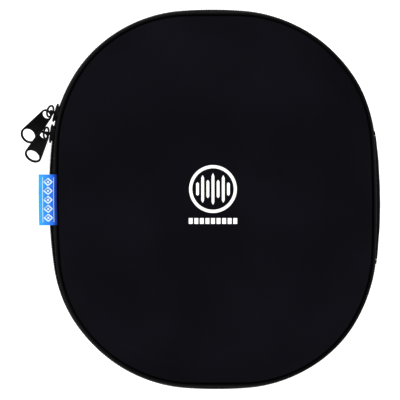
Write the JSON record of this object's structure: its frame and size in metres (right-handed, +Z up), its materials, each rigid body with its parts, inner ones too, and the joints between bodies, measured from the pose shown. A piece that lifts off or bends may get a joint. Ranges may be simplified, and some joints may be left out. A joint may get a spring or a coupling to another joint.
{
  "type": "hard-shell zip case",
  "caption": "Oval hard-shell zip case for over-ear headphones: two fabric-covered foam halves on a fabric hinge, with piping, sliders, pulls and a side label.",
  "frame": {"origin": "centre of the base's flat underside, on the surface the case stands on", "axes": "+Z up through the lid, +X towards the fabric hinge, +Y along the long side away from the user; the sliders and label are on the -X side"},
  "size_m": [0.2194, 0.2314, 0.064],
  "materials": {
    "shell_fabric": "matt black woven polyester laminated to moulded foam",
    "lining": "short-napped black knit",
    "piping": "black woven binding over a cord",
    "tape": "black woven polyester tape",
    "coil": "black nylon coil with a soft shine",
    "spine": "black woven fabric, folded",
    "zip_metal": "black lacquer on die-cast zinc, semi-gloss, worn at the edges",
    "label": null,
    "net": "black warp-knitted net",
    "elastic": "black ribbed elastic"
  },
  "bodies": {
    "base": {"base_shell": "shell_fabric", "base_lining": "lining", "base_piping": "piping", "base_seam_binding": "tape", "base_zip_tape": "tape", "base_zip_coil": "coil", "hinge_spine_base": "spine", "zip_stop_far": "zip_metal", "zip_stop_near": "zip_metal"},
    "lid": {"lid_shell": "shell_fabric", "lid_lining": "lining", "lid_piping": "piping", "lid_seam_binding": "tape", "lid_zip_tape": "tape", "lid_zip_coil": "coil", "hinge_spine_lid": "spine", "side_label": "label", "pocket_net": "net", "pocket_hem": "elastic"},
    "upper_slider_body": {"upper_slider": "zip_metal"},
    "upper_ring_body": {"upper_pull_ring": "zip_metal"},
    "upper_pull_body": {"upper_pull": "zip_metal"},
    "lower_slider_body": {"lower_slider": "zip_metal"},
    "lower_ring_body": {"lower_pull_ring": "zip_metal"},
    "lower_pull_body": {"lower_pull": "zip_metal"}
  },
  "joints": [
    {"name": "lid_hinge", "type": "hinge", "parent": "base", "child": "lid", "pos_m": [0.1009, 0, 0.032], "axis": [0, 1, 0], "range_deg": [0, 180]},
    {"name": "upper_slider_travel", "type": "hinge", "parent": "base", "child": "upper_slider_body", "pos_m": [-0.01285, 0.02867, 0.032], "axis": [0, 0, -1], "range_deg": [0, 63]},
    {"name": "upper_ring_swing", "type": "hinge", "parent": "upper_slider_body", "child": "upper_ring_body", "pos_m": [-0.09819, 0.05427, 0.032], "axis": [0.2874, 0.9578, 0], "range_deg": [-5, 95]},
    {"name": "upper_pull_swing", "type": "hinge", "parent": "upper_ring_body", "child": "upper_pull_body", "pos_m": [-0.10206, 0.05293, 0.02708], "axis": [-0.1654, 0.8006, -0.5759], "range_deg": [-15, 50]},
    {"name": "lower_slider_travel", "type": "hinge", "parent": "base", "child": "lower_slider_body", "pos_m": [0.2087, 0, 0.032], "axis": [0, 0, 1], "range_deg": [0, 14.5]},
    {"name": "lower_ring_swing", "type": "hinge", "parent": "lower_slider_body", "child": "lower_ring_body", "pos_m": [-0.10098, 0.04187, 0.032], "axis": [0.134, 0.991, 0], "range_deg": [-5, 95]},
    {"name": "lower_pull_swing", "type": "hinge", "parent": "lower_ring_body", "child": "lower_pull_body", "pos_m": [-0.10416, 0.04025, 0.02649], "axis": [-0.1651, 0.8387, -0.519], "range_deg": [-15, 50]}
  ]
}
